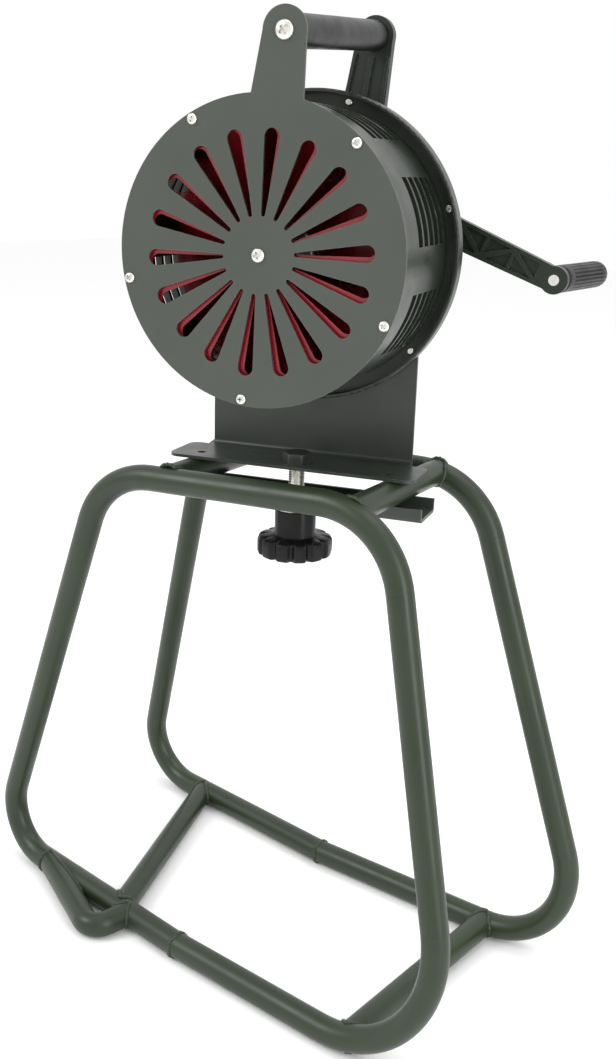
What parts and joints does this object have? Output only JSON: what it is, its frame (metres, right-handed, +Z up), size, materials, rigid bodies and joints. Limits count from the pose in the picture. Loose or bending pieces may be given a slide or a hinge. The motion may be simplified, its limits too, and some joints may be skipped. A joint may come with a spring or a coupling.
{
  "type": "hand crank siren",
  "caption": "Hand-cranked mechanical siren: slotted drum with a vaned rotor, geared crank and carrying grip, clamped on a bent tubular stand.",
  "frame": {"origin": "middle of the bounding box, on the floor", "axes": "+Z up; -Y is the front of the stand, the side the siren disc faces; +X to the right seen from the front"},
  "size_m": [0.5333, 0.4246, 0.7972],
  "materials": {
    "frame_paint": "satin",
    "bracket_paint": "satin",
    "housing_paint": "gloss",
    "cover_paint": "satin",
    "rotor_paint": "satin",
    "gearbox_casting": "satin",
    "zinc_steel": "satin",
    "steel": "polished",
    "black_plastic": "matte",
    "grip_plastic": "matte",
    "bronze": "satin",
    "crank_casting": "satin"
  },
  "bodies": {
    "stand": {"near_frame": "frame_paint", "far_frame": "frame_paint", "top_cross_left": "frame_paint", "top_cross_right": "frame_paint", "bottom_cross_left": "frame_paint", "bottom_cross_right": "frame_paint", "foot_loop": "frame_paint"},
    "clamp": {"clamp_channel": "bracket_paint", "clamp_bolt": "zinc_steel", "clamp_washer": "zinc_steel"},
    "knob": {"clamp_knob": "black_plastic"},
    "head": {"mounting_bracket": "bracket_paint", "front_cover": "cover_paint", "cover_screws": "zinc_steel", "centre_screw": "zinc_steel", "ear_screw": "zinc_steel", "front_bearing_seat": "housing_paint", "front_bearing": "steel", "drum": "housing_paint", "back_cover": "housing_paint", "rim_screws": "zinc_steel", "bracket_bolts": "zinc_steel", "bracket_nuts": "zinc_steel", "gearbox_housing": "gearbox_casting", "rear_bearing": "steel", "layshaft_bushes": "bronze", "gearbox_cover": "gearbox_casting", "crank_bush": "bronze", "gearbox_screws": "zinc_steel", "carry_grip": "grip_plastic", "grip_rod": "zinc_steel", "grip_nut": "zinc_steel"},
    "rotor": {"rotor_plate": "rotor_paint", "rotor_vanes": "rotor_paint", "rotor_disc": "rotor_paint", "rotor_hub": "steel", "rotor_shaft": "steel", "rotor_pinion": "steel"},
    "lay_gears": {"layshaft": "steel", "layshaft_gear": "steel", "layshaft_pinion": "steel"},
    "crank": {"crank_shaft": "steel", "crank_gear": "steel", "crank_arm": "crank_casting", "crank_nut": "zinc_steel", "grip_pin": "zinc_steel", "grip_pin_cap": "zinc_steel"},
    "grip": {"crank_grip": "grip_plastic"}
  },
  "joints": [
    {"name": "clamp_slide", "type": "slide", "parent": "stand", "child": "clamp", "axis": [-0.1513, 0.9885, 0], "range_m": [-0.01, 0.015]},
    {"name": "head_swivel", "type": "hinge", "parent": "clamp", "child": "head", "pos_m": [0.02828, -0.06419, 0.438], "axis": [0, 0, 1], "range_deg": [-12, 12]},
    {"name": "knob_turn", "type": "hinge", "parent": "clamp", "child": "knob", "pos_m": [0.02828, -0.06419, 0.38], "axis": [0, 0, 1], "range_deg": [-150, 150]},
    {"name": "rotor_spin", "type": "hinge", "parent": "head", "child": "rotor", "pos_m": [0.02014, -0.04688, 0.6128], "axis": [-0.3156, 0.9489, 0], "continuous": true},
    {"name": "layshaft_spin", "type": "hinge", "parent": "head", "child": "lay_gears", "pos_m": [-0.0194, -0.00734, 0.64072], "axis": [-0.3156, 0.9489, 0], "continuous": true},
    {"name": "crank_turn", "type": "hinge", "parent": "head", "child": "crank", "pos_m": [-0.00306, 0.04026, 0.6625], "axis": [-0.3156, 0.9489, 0], "continuous": true},
    {"name": "grip_spin", "type": "hinge", "parent": "crank", "child": "grip", "pos_m": [0.1588, 0.11518, 0.59112], "axis": [-0.0767, 0.9971, 0], "continuous": true}
  ],
  "couplings": [
    {"joint": "layshaft_spin", "follows": "rotor_spin", "ratio": -0.25},
    {"joint": "crank_turn", "follows": "rotor_spin", "ratio": 0.0625}
  ]
}
